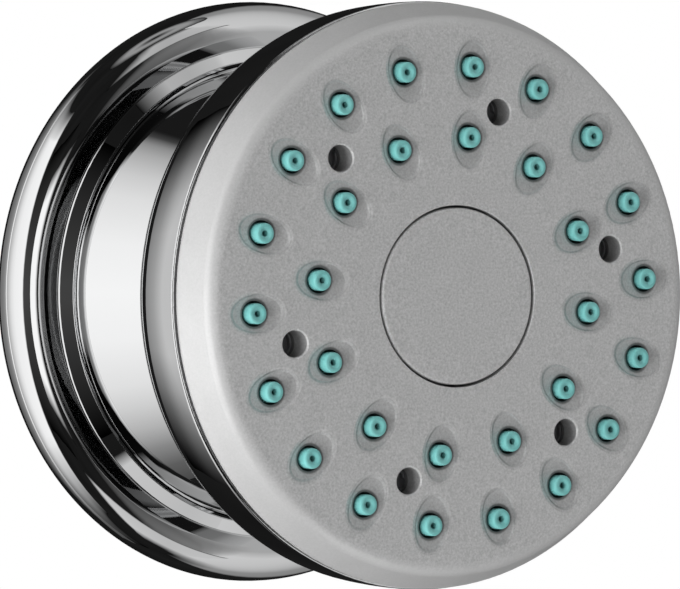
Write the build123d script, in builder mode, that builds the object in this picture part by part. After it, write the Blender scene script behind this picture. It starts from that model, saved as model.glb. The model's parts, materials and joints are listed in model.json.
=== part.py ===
"""Wall mounted shower body jet: tilting spray head on a fixed neck, with a push button stop valve.

Origin: middle of the wall plane, on the inlet axis. The jet points to minus Y and Z is up.
Millimetres. Names that start with at_ are stations: distances out from the wall along the jet axis.
"""
import os
from math import asin, atan2, cos, pi, radians, sin, sqrt, tan

from build123d import *

os.makedirs("parts", exist_ok=True)

# Outside sizes, read from the photo for a head 100 mm across
head_d = 100
flange_d = 100.8
neck_d = 79.6
projection = 70            # wall to the crown of the face
dome_r = 391               # the face is a shallow dome
shoulder_r = 3             # rounding from the face to its bevelled edge
bevel_w = 4.9              # face rim outside the middle of that rounding
bevel_h = 3.73             # face rim behind it
rim_edge = 0.5
rim_inset = 0.2            # face rim inside the chrome band
rim_len = 0.3              # straight part of the face rim
shadow_gap = 1.1           # groove between face rim and chrome band
band_len = 8.4
band_edge = 0.5
crown_r = 100              # the band bows in towards its back
back_round = 10
skin = 2.4                 # chrome shell

# Spray pattern
ring_inset = 11            # outer nozzle ring inside the edge of the head
outer_count = 18
ring_pitch = 12            # inner nozzle ring inside the outer one
inner_count = 12
nozzle_phase = 83.9        # degrees from +X towards +Z
nozzle_d = 3.5
nozzle_clear = 0.25
nozzle_edge = 0.45
nozzle_sink = 0.3          # chamfer of the hole round each nozzle
orifice_d = 1.1
dish_d = 2.1               # shallow cone round each orifice
dish_deep = 0.3
tip_proud = 1.7            # nozzle tip above the floor of its dimple
dimple_len = 10.2
dimple_wid = 6.8
dimple_deep = 0.7
dimple_shift = 0.35        # dimple centre inwards of its nozzle
air_inset = 6.6            # ring of air holes inside the outer nozzles
air_count = 6
air_phase = 73.9
air_d = 4.6
air_edge = 0.25
jet_d = 2

# Push button and stop valve
button_d = 30
button_gap = 0.4
button_edge = 0.6
button_t = 1.8
button_wall = 1.7
collar_d = 8.4             # socket under the button for the stem
collar_len = 1.5
travel = 2.5
stem_d = 5
cup_deep = 7.4             # crown of the face to the floor of the button's cup
cup_t = 1.2
cup_wall = 1.6
hub_t = 2.5
boss_d = 19
boss_in_d = 14.4
boss_len = 3
lug = 1.8
disc_d = 14.8
disc_hole_d = 4
disc_t = 2.2
disc_gap = 0.8
rivet_d = 8
rivet_t = 0.9
gland_t = 0.8
gland_deep = 1
stem_seal_r = 0.78
wire_d = 0.8

# Ball joint
ball_r = 12
liner_t = 0.9
ball_clear = 0.05
tilt_each = 8              # degrees each way about X and about Z
seal_r = 1.3
seat_wall = 3.35
throat_d = 10
throat_len = 3.3
tube_wall = 5.1
tube_back = 10.5           # end of the socket behind the ball's middle
nut_t = 2
nut_grip = 1.85            # how far the nut reaches in behind the ball

# Walls and clearances
wall = 2
fit = 0.1
thread_fit = 0.05
ring_fit = 0.05
face_t = 2.85
mat_t = 1.4
bowl_deep = 1.7
bowl_wall = 1.7
rim_t = 2.2                # face rim over the thread of the band
spigot_t = 1.55
ledge_w = 1.2
well_d = 60
well_gap = 1.3

# Inlet
thread_d = 20.955          # half inch pipe thread, outside
thread_len = 18
thread_edge = 1
bore_d = 13
mouth_d = 16
mouth_deep = 6
hex_af = 32
hex_len = 7
spigot_d = 23
tail_d = 15
tail_len = 11
tail_seal_t = 1
stem_bore_d = 9
ball_neck_d = 16.4

# Escutcheon and neck
rim_h = 2.4                # widest point of the flange above the wall
bulge_h = 5.9
step_w = 1.95              # flat step between the bulge and the collar
collar_w = 2.75            # foot of the sloping collar outside the neck
collar_clear = 0.15
collar_step = 0.45
collar_h = 1.8
shell_t = 1.8
gasket_t = 1.2
gasket_in = 3              # gasket edge inside the rim
floor_t = 1.4
floor_w = 4.4              # floor that the neck presses on
neck_edge = 0.6
neck_draft = 15            # degrees, the neck narrows towards the head
neck_past = 8.5            # neck end in front of the ball's middle
lip_clear = 1.55           # neck to the head's back lip when tilted

# Stations from the face inwards
head_r = head_d / 2
cap_r = head_r - rim_inset
knee_r = cap_r - bevel_w
at_dome_mid = projection - dome_r
at_knee = at_dome_mid + sqrt((dome_r - shoulder_r) ** 2 - knee_r ** 2)
grow = dome_r / (dome_r - shoulder_r)
tangent_r = knee_r * grow
at_tangent = at_dome_mid + (at_knee - at_dome_mid) * grow
at_rim = at_knee - bevel_h
bevel_turn = atan2(bevel_h, bevel_w) + asin(shoulder_r / sqrt(bevel_w ** 2 + bevel_h ** 2))
half_turn = (asin(knee_r / (dome_r - shoulder_r)) + bevel_turn) / 2
bevel_r = knee_r + shoulder_r * sin(bevel_turn)
at_bevel = at_knee + shoulder_r * cos(bevel_turn)
at_cap_back = at_rim - rim_len
at_band_front = at_cap_back - shadow_gap
at_band_back = at_band_front - band_len
at_face_in = at_tangent - face_t
at_mat_back = at_face_in - mat_t
at_plate_back = at_mat_back - wall
at_chamber_front = at_plate_back - bowl_deep
at_chamber_back = at_chamber_front - wall
at_cup_floor = projection - cup_deep
at_cup_back = at_cup_floor - cup_t
at_hub_back = at_cup_back - hub_t
at_pocket = at_hub_back + gland_deep
at_gland = at_pocket + 2 * stem_seal_r + ring_fit
at_rotor = at_gland + gland_t + travel + fit
at_boss = at_cup_floor + boss_len
at_under = projection - button_t
at_collar_end = at_under - collar_len
at_disc_front = at_hub_back - disc_gap
at_disc_back = at_disc_front - disc_t
at_seat = at_disc_back - travel - ring_fit
at_well_front = at_hub_back - well_gap
at_well_back = at_well_front - wall
at_pivot = at_seat - throat_len - ball_r

# Radii of the head's inside
spigot_out_r = cap_r - rim_t
spigot_in_r = spigot_out_r - spigot_t
skirt_in_r = spigot_out_r + thread_fit
ledge_r = spigot_in_r - ledge_w
chamber_r = spigot_in_r - fit
rim_in_r = chamber_r - bowl_wall
outer_ring_r = head_r - ring_inset
inner_ring_r = outer_ring_r - ring_pitch
air_ring_r = outer_ring_r - air_inset
button_r = button_d / 2
hole_r = button_r + button_gap
cup_r = hole_r + cup_wall
boss_r = boss_d / 2
boss_in_r = boss_in_d / 2
well_r = well_d / 2
stem_r = stem_d / 2

# Ball seat
liner_in_r = ball_r + ball_clear
liner_out_r = liner_in_r + liner_t
seat_r = liner_out_r + fit
socket_r = seat_r + seat_wall
tube_r = socket_r + tube_wall
seal_at = radians(52)      # seal circle on the ball, from the jet axis
seal_ring_r = (ball_r + ball_clear + seal_r) * sin(seal_at)
at_seal = at_pivot + (ball_r + ball_clear + seal_r) * cos(seal_at)
at_socket = at_seal + seal_r + ring_fit
at_tube_end = at_pivot - tube_back
at_nut_back = at_tube_end - nut_t

# Wall side
neck_r = neck_d / 2
neck_in_r = neck_r - wall
at_floor = gasket_t + floor_t
at_hex_back = wall
at_shoulder = at_hex_back + hex_len
spigot_r = spigot_d / 2
tail_r = tail_d / 2
at_tail = at_shoulder - tail_seal_t
at_spigot = at_tail + tail_len
at_neck_front = at_pivot + neck_past
slim = tan(radians(neck_draft))
at_draft = rim_h + bulge_h + collar_h
neck_front_r = neck_r - (at_neck_front - at_draft) * slim
swing = radians(1.42 * tilt_each)
at_swing = at_band_back - back_round - neck_r * sin(swing)
lip_r = (neck_r - (at_swing - at_draft) * slim) / cos(swing) + lip_clear
stem_bore_r = stem_bore_d / 2
ball_neck_r = ball_neck_d / 2


def on_dome(r):
    """Station of the face surface at radius r."""
    return at_dome_mid + sqrt(dome_r ** 2 - r ** 2)


def on_ball(radius, degrees):
    """Point of a circle about the ball centre, measured from the jet axis."""
    turn = radians(degrees)
    return (radius * sin(turn), at_pivot + radius * cos(turn))


def ball_angle(radius, at):
    """Degrees from the jet axis where a circle about the ball centre meets a station."""
    return 90 - 180 / pi * atan2(at - at_pivot, sqrt(radius ** 2 - (at - at_pivot) ** 2))


def facing(at):
    """Plane across the jet axis, looking out of the wall."""
    return Plane(origin=(0, -at, 0), x_dir=(1, 0, 0), z_dir=(0, -1, 0))


def circles_of(part, radius, at):
    """Round edges of a part with this radius at this station."""
    return [
        e
        for e in part.edges().filter_by(GeomType.CIRCLE)
        if abs(e.radius - radius) < 0.02 and abs(e.center().Y + at) < 0.02
    ]


def rims_of(part, radius, rings):
    """Outer rims of the holes of this radius, drilled on these rings."""
    found = []
    for e in part.edges():
        box = e.bounding_box()
        ring = sqrt(box.center().X ** 2 + box.center().Z ** 2)
        round_hole = abs(box.size.X - 2 * radius) < fit and abs(box.size.Z - 2 * radius) < fit
        if round_hole and box.max.Y < -at_face_in - rim_len and min(abs(ring - r) for r in rings) < fit:
            found.append(e)
    return found


# Half section plane: first coordinate is radius, second is the station
section = Plane(origin=(0, 0, 0), x_dir=(1, 0, 0), z_dir=(0, 0, -1))

# Threaded nipple that screws into the wall
thread_r = thread_d / 2
bore_r = bore_d / 2
mouth_r = mouth_d / 2
at_mouth_floor = -thread_len + mouth_deep
with BuildPart() as wall_nipple:
    with BuildSketch(section):
        with BuildLine():
            Polyline(
                (mouth_r, -thread_len), (thread_r - thread_edge, -thread_len),
                (thread_r, -thread_len + thread_edge), (thread_r, at_hex_back), (spigot_r, at_hex_back),
                (spigot_r, at_spigot), (tail_r + thread_fit, at_spigot), (tail_r + thread_fit, at_tail),
                (bore_r, at_tail), (bore_r, at_mouth_floor), (mouth_r, at_mouth_floor), close=True)
        make_face()
    revolve(axis=Axis.Y)
    with BuildSketch(facing(at_hex_back)):
        RegularPolygon(hex_af / 2, 6, major_radius=False)
        Circle(tail_r + wall, mode=Mode.SUBTRACT)
    extrude(amount=hex_len)
wall_nipple.part.label = "wall_nipple"
export_step(wall_nipple.part, "parts/wall_nipple.step")

# Cup strainer in the mouth of the nipple
strainer_rim = 1.2
rim_w = 1.6
mesh_t = 0.6
lean = 0.6
basket_r = mouth_r - rim_w - 2 * fit
at_basket = at_mouth_floor - 4 * fit
with BuildPart() as inlet_strainer:
    with BuildSketch(section):
        with BuildLine():
            Polyline(
                (mouth_r - rim_w, -thread_len), (mouth_r - fit, -thread_len),
                (mouth_r - fit, -thread_len + strainer_rim), (basket_r, -thread_len + strainer_rim),
                (basket_r - lean, at_basket), (0, at_basket), (0, at_basket - mesh_t),
                (basket_r - lean - mesh_t, at_basket - mesh_t),
                (basket_r - mesh_t, -thread_len + strainer_rim), close=True)
        make_face()
    revolve(axis=Axis.Y)
inlet_strainer.part.label = "inlet_strainer"
export_step(inlet_strainer.part, "parts/inlet_strainer.step")

# Flow limiter cartridge with its ring, in the bore of the nipple
limiter_r = bore_r - fit
limiter_hole_r = 1.6
funnel_r = 4
groove_deep = 1.2
limiter_len = 5
at_limiter = at_mouth_floor + 2 * fit
at_groove = at_limiter + limiter_hole_r
groove_w = groove_deep + 2 * fit
with BuildPart() as flow_limiter:
    with BuildSketch(section):
        with BuildLine():
            Polyline(
                (limiter_hole_r, at_limiter), (limiter_r, at_limiter), (limiter_r, at_groove),
                (limiter_r - groove_deep, at_groove), (limiter_r - groove_deep, at_groove + groove_w),
                (limiter_r, at_groove + groove_w), (limiter_r, at_limiter + limiter_len),
                (funnel_r, at_limiter + limiter_len),
                (limiter_hole_r, at_limiter + limiter_len - limiter_hole_r), close=True)
        make_face()
    revolve(axis=Axis.Y)
flow_limiter.part.label = "flow_limiter"
export_step(flow_limiter.part, "parts/flow_limiter.step")

with BuildPart() as limiter_seal:
    with BuildSketch(section):
        with Locations((limiter_r - groove_deep / 2 + fit / 2, at_groove + groove_w / 2)):
            Circle(groove_deep / 2)
    revolve(axis=Axis.Y)
limiter_seal.part.label = "limiter_seal"
export_step(limiter_seal.part, "parts/limiter_seal.step")

# Ball stem screwed into the nipple
flat_r = ball_r / 2
at_flat = at_pivot + sqrt(ball_r ** 2 - flat_r ** 2)
at_neck_top = at_pivot - sqrt(ball_r ** 2 - ball_neck_r ** 2)
with BuildPart() as ball_stem:
    with BuildSketch(section):
        with BuildLine():
            Polyline(
                (flat_r, at_flat), (stem_bore_r, at_flat), (stem_bore_r, at_shoulder), (tail_r, at_shoulder),
                (tail_r, at_spigot), (ball_neck_r, at_spigot), (ball_neck_r, at_neck_top))
            ThreePointArc((ball_neck_r, at_neck_top), (ball_r, at_pivot), (flat_r, at_flat))
        make_face()
    revolve(axis=Axis.Y)
ball_stem.part.label = "ball_stem"
export_step(ball_stem.part, "parts/ball_stem.step")

seal_inset = 0.4
with BuildPart() as tail_seal:
    with BuildSketch(section):
        with BuildLine():
            Polyline(
                (stem_bore_r + seal_inset, at_tail), (tail_r - fit, at_tail), (tail_r - fit, at_shoulder),
                (stem_bore_r + seal_inset, at_shoulder), close=True)
        make_face()
    revolve(axis=Axis.Y)
tail_seal.part.label = "tail_seal"
export_step(tail_seal.part, "parts/tail_seal.step")

# Escutcheon: a rounded bulge, a step, and a sloping collar round the neck
flange_r = flange_d / 2
collar_r = neck_r + collar_w
collar_in_r = neck_r + collar_clear
collar_edge = 0.4
lip_w = 0.5
lip_edge = 0.35
step_r = collar_r + step_w
bulge_w = flange_r - step_r
bulge_r = (bulge_w ** 2 + bulge_h ** 2) / (2 * bulge_w)
at_bulge = rim_h + bulge_h
at_collar = at_bulge + collar_step
at_lip = at_draft
at_shell_in = at_bulge - shell_t
floor_in_r = neck_in_r - floor_w
gasket_r = flange_r - gasket_in
heel = 1.2
heel_bow = 0.3
with BuildPart() as escutcheon:
    with BuildSketch(section):
        with BuildLine():
            Polyline(
                (gasket_r, gasket_t), (gasket_r, 0), (flange_r - heel, 0))
            ThreePointArc((flange_r - heel, 0), (flange_r - heel_bow, rim_h - heel - fit), (flange_r, rim_h))
            RadiusArc((flange_r, rim_h), (step_r, at_bulge), -bulge_r)
            Polyline(
                (step_r, at_bulge), (collar_r + fit, at_bulge), (collar_r, at_collar),
                (collar_in_r + lip_w, at_lip), (collar_in_r, at_lip),
                (collar_in_r, at_lip - collar_h + heel_bow),
                (collar_r + collar_edge, at_shell_in), (step_r, at_shell_in),
                (gasket_r + collar_edge, at_floor + neck_edge), (gasket_r, at_floor), (floor_in_r, at_floor),
                (floor_in_r, gasket_t), (gasket_r, gasket_t))
        make_face()
    revolve(axis=Axis.Y)
    fillet(circles_of(escutcheon, collar_r, at_collar), collar_edge)
    fillet(circles_of(escutcheon, collar_in_r + lip_w, at_lip), lip_edge)
escutcheon.part.label = "escutcheon"
export_step(escutcheon.part, "parts/escutcheon.step")

gasket_in_r = floor_in_r + wall / 2
with BuildPart() as wall_gasket:
    with BuildSketch(section):
        with BuildLine():
            Polyline(
                (gasket_in_r, 0), (gasket_r, 0), (gasket_r, gasket_t), (gasket_in_r, gasket_t), close=True)
        make_face()
    revolve(axis=Axis.Y)
wall_gasket.part.label = "wall_gasket"
export_step(wall_gasket.part, "parts/wall_gasket.step")

# Neck sleeve, clamped against the nipple's shoulder, presses the escutcheon to the wall
with BuildPart() as neck_sleeve:
    with BuildSketch(section):
        with BuildLine():
            Polyline(
                (neck_in_r, at_floor), (neck_r, at_floor), (neck_r, at_draft), (neck_front_r, at_neck_front),
                (neck_front_r - wall, at_neck_front), (neck_in_r, at_shoulder + wall),
                (spigot_r + fit, at_shoulder + wall), (spigot_r + fit, at_shoulder),
                (neck_in_r, at_shoulder), close=True)
        make_face()
    revolve(axis=Axis.Y)
    fillet(circles_of(neck_sleeve, neck_front_r, at_neck_front), neck_edge)
neck_sleeve.part.label = "neck_sleeve"
export_step(neck_sleeve.part, "parts/neck_sleeve.step")

at_washer = at_shoulder + wall
washer_t = 1
washer_lap = 1
lock_nut_t = 5
with BuildPart() as lock_washer:
    with BuildSketch(facing(at_washer)):
        Circle(hex_af / 2 + washer_lap)
        Circle(spigot_r + fit, mode=Mode.SUBTRACT)
    extrude(amount=washer_t)
lock_washer.part.label = "lock_washer"
export_step(lock_washer.part, "parts/lock_washer.step")

with BuildPart() as lock_nut:
    with BuildSketch(facing(at_washer + washer_t)):
        RegularPolygon(hex_af / 2, 6, major_radius=False)
        Circle(spigot_r + thread_fit, mode=Mode.SUBTRACT)
    extrude(amount=lock_nut_t)
lock_nut.part.label = "lock_nut"
export_step(lock_nut.part, "parts/lock_nut.step")

# Slip liner round the ball
with BuildPart() as ball_liner:
    with BuildSketch(section):
        with BuildLine():
            ThreePointArc(on_ball(liner_in_r, 71), on_ball(liner_in_r, 93), on_ball(liner_in_r, 116))
            Line(on_ball(liner_in_r, 116), on_ball(liner_out_r, 116))
            ThreePointArc(on_ball(liner_out_r, 116), on_ball(liner_out_r, 93), on_ball(liner_out_r, 71))
            Line(on_ball(liner_out_r, 71), on_ball(liner_in_r, 71))
        make_face()
    revolve(axis=Axis.Y)
ball_liner.part.label = "ball_liner"
export_step(ball_liner.part, "parts/ball_liner.step")

# Seat ring in front of the ball
pocket_r = seal_ring_r + seal_r + 2 * fit
at_seat_back = at_pivot + liner_t
at_seat_pocket = at_pivot + sqrt(seat_r ** 2 - pocket_r ** 2)
seat_back_r = sqrt(seat_r ** 2 - (at_seat_back - at_pivot) ** 2)
seat_mid = (ball_angle(seat_r, at_seat_back) + ball_angle(seat_r, at_seat_pocket)) / 2
with BuildPart() as seat_ring:
    with BuildSketch(section):
        with BuildLine():
            ThreePointArc((seat_back_r, at_seat_back), on_ball(seat_r, seat_mid), (pocket_r, at_seat_pocket))
            Polyline(
                (pocket_r, at_seat_pocket), (pocket_r, at_socket - fit), (socket_r - fit, at_socket - fit),
                (socket_r - fit, at_seat_back), (seat_back_r, at_seat_back))
        make_face()
    revolve(axis=Axis.Y)
seat_ring.part.label = "seat_ring"
export_step(seat_ring.part, "parts/seat_ring.step")

with BuildPart() as ball_seal:
    with BuildSketch(section):
        with Locations((seal_ring_r, at_seal)):
            Circle(seal_r)
    revolve(axis=Axis.Y)
ball_seal.part.label = "ball_seal"
export_step(ball_seal.part, "parts/ball_seal.step")

# Retaining nut behind the ball, with spanner slots
slot_len = 5
slot_wid = 3
slot_deep = 1.2
flare = 1.2
at_nut_front = at_seat_back - fit - ring_fit
nut_front_r = sqrt(seat_r ** 2 - (at_nut_front - at_pivot) ** 2)
grip_r = seat_r - nut_grip
at_grip = at_pivot - sqrt(seat_r ** 2 - grip_r ** 2)
with BuildPart() as retaining_nut:
    with BuildSketch(section):
        with BuildLine():
            ThreePointArc((nut_front_r, at_nut_front), on_ball(seat_r, 100), (grip_r, at_grip))
            Polyline(
                (grip_r, at_grip), (grip_r + flare, at_nut_back), (tube_r, at_nut_back),
                (tube_r, at_tube_end), (socket_r - thread_fit, at_tube_end),
                (socket_r - thread_fit, at_nut_front), (nut_front_r, at_nut_front))
        make_face()
    revolve(axis=Axis.Y)
    with BuildSketch(facing(at_nut_back)):
        with PolarLocations(tube_r, 4):
            Rectangle(slot_len, slot_wid)
    extrude(amount=slot_deep, mode=Mode.SUBTRACT)
retaining_nut.part.label = "retaining_nut"
export_step(retaining_nut.part, "parts/retaining_nut.step")

# Head shell: chrome band with a rounded back, open round the neck
crown_turn = asin(band_len / (crown_r - back_round))
crown_mid_r = head_r - crown_r
back_mid_r = crown_mid_r + (crown_r - back_round) * cos(crown_turn)
back_in_round = back_round - skin
at_back = at_band_back - sqrt(back_round ** 2 - (lip_r - back_mid_r) ** 2)
at_back_in = at_band_back - sqrt(back_in_round ** 2 - (lip_r - back_mid_r) ** 2)
turn = radians(45)
bow = (asin((lip_r - back_mid_r) / back_round) + pi / 2 - crown_turn) / 2
bow_in = (asin((lip_r - back_mid_r) / back_in_round) + pi / 2) / 2
with BuildPart() as head_shell:
    with BuildSketch(section):
        with BuildLine():
            ThreePointArc(
                (lip_r, at_back),
                (back_mid_r + back_round * sin(bow), at_band_back - back_round * cos(bow)),
                (crown_mid_r + crown_r * cos(crown_turn), at_band_front - crown_r * sin(crown_turn)))
            ThreePointArc(
                (crown_mid_r + crown_r * cos(crown_turn), at_band_front - crown_r * sin(crown_turn)),
                (crown_mid_r + crown_r * cos(crown_turn / 2), at_band_front - crown_r * sin(crown_turn / 2)),
                (head_r, at_band_front))
            Polyline(
                (head_r, at_band_front), (spigot_out_r, at_band_front),
                (spigot_out_r, at_mat_back), (spigot_in_r, at_mat_back), (spigot_in_r, at_chamber_back),
                (ledge_r, at_chamber_back), (ledge_r, at_band_back + wall),
                (back_mid_r + back_in_round, at_band_back))
            ThreePointArc(
                (back_mid_r + back_in_round, at_band_back),
                (back_mid_r + back_in_round * sin(bow_in), at_band_back - back_in_round * cos(bow_in)),
                (lip_r, at_back_in))
            Line((lip_r, at_back_in), (lip_r, at_back))
        make_face()
    revolve(axis=Axis.Y)
    fillet(circles_of(head_shell, head_r, at_band_front), band_edge)
head_shell.part.label = "head_shell"
export_step(head_shell.part, "parts/head_shell.step")

# Water chamber: socket for the ball, valve seat and the bowl behind the jet plate
throat_r = throat_d / 2
seat_w = 1.2
seat_foot = 0.8
at_throat = at_pivot + ball_r + neck_edge
at_moat = at_seat - well_gap
moat_w = 4.1
moat_r = disc_d / 2 + moat_w
shelf_r = rim_in_r - cup_wall
bowl_lean = 1.5
throat_wall = 4.2
with BuildPart() as water_chamber:
    with BuildSketch(section):
        with BuildLine():
            Polyline(
                (throat_r, at_throat), (throat_r, at_seat), (throat_r + seat_w, at_seat),
                (throat_r + seat_w + seat_foot, at_moat), (moat_r, at_moat),
                (moat_r, at_well_front), (well_r, at_well_front), (well_r + bowl_lean, at_chamber_front),
                (shelf_r, at_chamber_front), (shelf_r, at_plate_back), (rim_in_r, at_plate_back),
                (rim_in_r, at_mat_back), (chamber_r, at_mat_back), (chamber_r, at_chamber_back),
                (well_r + bowl_lean + wall, at_chamber_back), (well_r + wall, at_well_back),
                (tube_r, at_well_back), (tube_r, at_tube_end), (socket_r, at_tube_end), (socket_r, at_socket),
                (throat_r + throat_wall, at_socket), (throat_r + throat_wall, at_throat), close=True)
        make_face()
    revolve(axis=Axis.Y)
water_chamber.part.label = "water_chamber"
export_step(water_chamber.part, "parts/water_chamber.step")

# Jet plate behind the nozzle mat, with the hub of the valve stem
gland_lap = 0.44
gland_pocket_r = stem_r + 2 * stem_seal_r + gland_lap
plate_in_r = cup_r + fit
hub_lean = 1
hub_wall = 1.4
jet_r = jet_d / 2
groove_r = 0.8             # half width of the air groove
air_deep = 1
slot = lug + 6 * fit
latch_deep = at_boss - at_rotor + travel + 2 * fit
with BuildPart() as jet_plate:
    with BuildSketch(section):
        with BuildLine():
            Polyline(
                (stem_r + ring_fit, at_hub_back), (stem_r + ring_fit, at_pocket), (gland_pocket_r, at_pocket),
                (gland_pocket_r, at_gland), (boss_in_r, at_gland), (boss_in_r, at_boss), (boss_r, at_boss),
                (boss_r, at_cup_back), (plate_in_r, at_cup_back), (plate_in_r, at_mat_back),
                (rim_in_r - fit, at_mat_back), (rim_in_r - fit, at_plate_back),
                (plate_in_r + hub_wall + hub_lean, at_plate_back), (plate_in_r + hub_wall, at_hub_back),
                close=True)
        make_face()
    revolve(axis=Axis.Y)
    with BuildSketch(facing(at_mat_back)):
        with PolarLocations(outer_ring_r, outer_count, nozzle_phase):
            Circle(jet_r)
        with PolarLocations(inner_ring_r, inner_count, nozzle_phase):
            Circle(jet_r)
    extrude(amount=-2 * wall, mode=Mode.SUBTRACT)
    with BuildSketch(facing(at_mat_back)):
        Circle(air_ring_r + groove_r)
        Circle(air_ring_r - groove_r, mode=Mode.SUBTRACT)
        with PolarLocations(air_ring_r, air_count, air_phase):
            Circle(air_d / 2)
    extrude(amount=-air_deep, mode=Mode.SUBTRACT)
    with BuildSketch(facing(at_boss)):
        with PolarLocations(boss_in_r, 4):
            Rectangle(slot, slot)
    extrude(amount=-latch_deep, mode=Mode.SUBTRACT)
jet_plate.part.label = "jet_plate"
export_step(jet_plate.part, "parts/jet_plate.step")

# Nozzle mat: one moulding, a web with a nozzle through every hole of the face
mat_in_r = cup_r + 2 * fit
at_outer_tip = on_dome(outer_ring_r) - dimple_deep + tip_proud
at_inner_tip = on_dome(inner_ring_r) - dimple_deep + tip_proud
nozzle_r = nozzle_d / 2
with BuildPart() as nozzle_mat:
    with BuildSketch(facing(at_mat_back)):
        Circle(chamber_r)
        Circle(mat_in_r, mode=Mode.SUBTRACT)
        with PolarLocations(air_ring_r, air_count, air_phase):
            Circle(air_d / 2 + nozzle_clear, mode=Mode.SUBTRACT)
    extrude(amount=mat_t)
    with BuildSketch(facing(at_face_in)):
        with PolarLocations(outer_ring_r, outer_count, nozzle_phase):
            Circle(nozzle_r)
    extrude(amount=at_outer_tip - at_face_in)
    with BuildSketch(facing(at_face_in)):
        with PolarLocations(inner_ring_r, inner_count, nozzle_phase):
            Circle(nozzle_r)
    extrude(amount=at_inner_tip - at_face_in)
    tips = circles_of(nozzle_mat, nozzle_r, at_outer_tip) + circles_of(nozzle_mat, nozzle_r, at_inner_tip)
    fillet(tips, nozzle_edge)
    with BuildSketch(facing(at_mat_back)):
        with PolarLocations(outer_ring_r, outer_count, nozzle_phase):
            Circle(orifice_d / 2)
        with PolarLocations(inner_ring_r, inner_count, nozzle_phase):
            Circle(orifice_d / 2)
    extrude(amount=projection + tip_proud - at_mat_back, mode=Mode.SUBTRACT)
    for ring_r, count, at_tip in (
        (outer_ring_r, outer_count, at_outer_tip), (inner_ring_r, inner_count, at_inner_tip)):
        with Locations(facing(at_tip)):
            with PolarLocations(ring_r, count, nozzle_phase):
                Cone(
                    orifice_d / 2, dish_d / 2, dish_deep,
                    align=(Align.CENTER, Align.CENTER, Align.MAX), mode=Mode.SUBTRACT)
nozzle_mat.part.label = "nozzle_mat"
export_step(nozzle_mat.part, "parts/nozzle_mat.step")

# One scoop, cut from a torus, that leaves an oval dimple when it meets the face
long_r = (dimple_len / 2) ** 2 / (2 * dimple_deep)
short_r = (dimple_wid / 2) ** 2 / (2 * dimple_deep)
with BuildPart() as scoop:
    with Locations((0, 0, long_r - dimple_deep)):
        Torus(long_r - short_r, short_r, rotation=(90, 0, 0))
    with BuildSketch(Plane.XY.offset(-2 * dimple_deep)):
        Rectangle(2 * dimple_len, 2 * dimple_wid)
    extrude(amount=2.2 * dimple_deep, mode=Mode.INTERSECT)


def dimple_plane(ring_r, degrees):
    """Plane tangent to the dome at one dimple, with its X along the radius."""
    mid_r = ring_r - dimple_shift
    out = Vector(cos(radians(degrees)), 0, sin(radians(degrees)))
    lean = mid_r / dome_r
    normal = out * lean + Vector(0, -sqrt(1 - lean ** 2), 0)
    spot = out * mid_r + Vector(0, -on_dome(mid_r), 0)
    side = out.cross(Vector(0, -1, 0))
    return Plane(origin=spot, x_dir=side.cross(normal) * -1, z_dir=normal)


spots = [dimple_plane(outer_ring_r, nozzle_phase + 360 / outer_count * k) for k in range(outer_count)]
spots += [dimple_plane(inner_ring_r, nozzle_phase + 360 / inner_count * k) for k in range(inner_count)]

# Face plate: domed, with dimples, nozzle holes, air holes and a cup for the button
with BuildPart() as face_plate:
    with BuildSketch(section):
        with BuildLine():
            mid_r = (hole_r + tangent_r) / 2
            ThreePointArc((hole_r, on_dome(hole_r)), (mid_r, on_dome(mid_r)), (tangent_r, at_tangent))
            ThreePointArc(
                (tangent_r, at_tangent),
                (knee_r + shoulder_r * sin(half_turn), at_knee + shoulder_r * cos(half_turn)),
                (bevel_r, at_bevel))
            Polyline(
                (bevel_r, at_bevel), (cap_r, at_rim), (cap_r, at_cap_back), (skirt_in_r, at_cap_back),
                (skirt_in_r, at_mat_back), (chamber_r + fit, at_face_in), (cup_r, at_face_in),
                (cup_r, at_cup_back), (boss_r + fit, at_cup_back), (boss_r + fit, at_cup_floor),
                (hole_r, at_cup_floor), (hole_r, on_dome(hole_r)))
        make_face()
    revolve(axis=Axis.Y)
    fillet(circles_of(face_plate, hole_r, on_dome(hole_r)), air_edge)
    fillet(circles_of(face_plate, cap_r, at_rim), rim_edge)
    add([scoop.part.moved(spot.location) for spot in spots], mode=Mode.SUBTRACT)
    with BuildSketch(facing(at_cup_floor)):
        with PolarLocations(outer_ring_r, outer_count, nozzle_phase):
            Circle(nozzle_r + nozzle_clear)
        with PolarLocations(inner_ring_r, inner_count, nozzle_phase):
            Circle(nozzle_r + nozzle_clear)
        with PolarLocations(air_ring_r, air_count, air_phase):
            Circle(air_d / 2)
    extrude(amount=2 * (projection - at_cup_floor), mode=Mode.SUBTRACT)
    chamfer(rims_of(face_plate, air_d / 2, (air_ring_r,)), air_edge)
    chamfer(rims_of(face_plate, nozzle_r + nozzle_clear, (outer_ring_r, inner_ring_r)), nozzle_sink)
face_plate.part.label = "face_plate"
export_step(face_plate.part, "parts/face_plate.step")

# Stem seal and the gland that holds it
with BuildPart() as stem_seal:
    with BuildSketch(section):
        with Locations((stem_r + ring_fit + stem_seal_r, (at_pocket + at_gland) / 2)):
            Circle(stem_seal_r)
    revolve(axis=Axis.Y)
stem_seal.part.label = "stem_seal"
export_step(stem_seal.part, "parts/stem_seal.step")

with BuildPart() as stem_gland:
    with BuildSketch(facing(at_gland)):
        Circle(boss_in_r - thread_fit)
        Circle(stem_r + ring_fit, mode=Mode.SUBTRACT)
    extrude(amount=gland_t)
stem_gland.part.label = "stem_gland"
export_step(stem_gland.part, "parts/stem_gland.step")

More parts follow.
